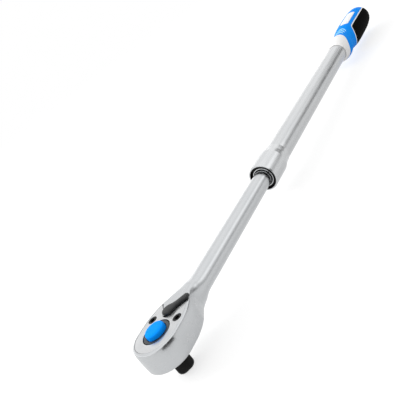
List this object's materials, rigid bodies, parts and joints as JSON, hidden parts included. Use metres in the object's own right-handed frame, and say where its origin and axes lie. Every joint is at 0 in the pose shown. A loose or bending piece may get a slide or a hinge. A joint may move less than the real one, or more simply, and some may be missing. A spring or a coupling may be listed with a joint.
{
  "type": "extendable ratchet handle",
  "caption": "Square-drive ratchet handle with a pear head, reversing lever, push-button socket release and a telescoping tube locked by a spring collar.",
  "frame": {"origin": "centre of the end face of the square drive", "axes": "+Z is the drive axis, up through the head; +X runs along the handle towards the grip; +Y is the left of the head"},
  "size_m": [0.6095, 0.0374, 0.0409],
  "materials": {
    "satin_chrome": "satin chrome plate on forged steel, with soft marks along the bar and the tube",
    "cover_chrome": "satin chrome plate",
    "bright_steel": "ground and polished",
    "black_steel": "black oxide with light rub marks on the edges",
    "spring_steel": "oiled spring steel",
    "lever_metal": "dark grey satin",
    "blue_plastic": "satin moulded",
    "black_rubber": "matte moulded",
    "white_plastic": "smooth moulded",
    "grey_plastic": "smooth moulded",
    "cyan_plastic": "smooth moulded"
  },
  "bodies": {
    "head": {"head_body": "satin_chrome", "cover_plate": "cover_chrome", "cover_screw_left": "black_steel", "cover_screw_right": "black_steel", "gear_washer": "spring_steel", "bar_stop_ring": "grey_plastic", "bar_end_washer": "spring_steel", "bar_end_screw": "black_steel"},
    "drive": {"drive_gear": "black_steel", "button_spring": "spring_steel"},
    "button": {"release_button": "blue_plastic", "release_rod": "bright_steel"},
    "socket_ball": {"socket_ball": "bright_steel"},
    "lever": {"reverse_lever": "lever_metal", "lever_stem": "bright_steel", "lever_detent_ball": "bright_steel", "lever_detent_spring": "spring_steel"},
    "pawl": {"pawl": "spring_steel"},
    "handle": {"outer_tube": "satin_chrome", "bar_wiper": "black_rubber", "collar_snap_ring": "black_steel", "collar_spring": "spring_steel", "tube_plug": "grey_plastic", "grip_core": "blue_plastic", "grip_flange": "grey_plastic", "grip_panel_right": "black_rubber", "grip_panel_left": "black_rubber", "panel_border_right": "white_plastic", "panel_border_left": "white_plastic", "grip_label": "white_plastic", "grip_chevron_1": "cyan_plastic", "grip_chevron_2": "cyan_plastic", "grip_chevron_3": "cyan_plastic"},
    "collar": {"lock_collar": "satin_chrome"},
    "lock_ball": {"lock_ball": "bright_steel"}
  },
  "joints": [
    {"name": "drive_spin", "type": "hinge", "parent": "head", "child": "drive", "pos_m": [0, 0, 0], "axis": [0, 0, 1], "continuous": true},
    {"name": "release_press", "type": "slide", "parent": "drive", "child": "button", "axis": [0, 0, -1], "range_m": [0, 0.0022], "stiffness_N_per_m": 1500, "springref_m": -0.002, "deforming": ["button_spring"]},
    {"name": "socket_ball_retract", "type": "slide", "parent": "drive", "child": "socket_ball", "axis": [-0.5, -0.866, 0], "range_m": [0, 0.0006]},
    {"name": "reverse_lever", "type": "hinge", "parent": "head", "child": "lever", "pos_m": [0.0175, 0, 0.034], "axis": [0, 0, 1], "range_deg": [0, 84]},
    {"name": "pawl_rock", "type": "hinge", "parent": "head", "child": "pawl", "pos_m": [0.0175, 0, 0.0255], "axis": [0, 0, 1], "range_deg": [0, 10]},
    {"name": "telescope", "type": "slide", "parent": "head", "child": "handle", "axis": [-1, 0, 0], "range_m": [0, 0.114]},
    {"name": "collar_slide", "type": "slide", "parent": "handle", "child": "collar", "axis": [1, 0, 0], "range_m": [0, 0.006], "stiffness_N_per_m": 1500, "springref_m": -0.004, "deforming": ["collar_spring"]},
    {"name": "lock_ball_lift", "type": "slide", "parent": "handle", "child": "lock_ball", "axis": [0, 0, -1], "range_m": [0, 0.0006]}
  ],
  "couplings": [
    {"joint": "socket_ball_retract", "follows": "release_press", "ratio": 0.27273},
    {"joint": "pawl_rock", "follows": "reverse_lever", "ratio": 0.11905},
    {"joint": "lock_ball_lift", "follows": "collar_slide", "ratio": 0.1}
  ]
}
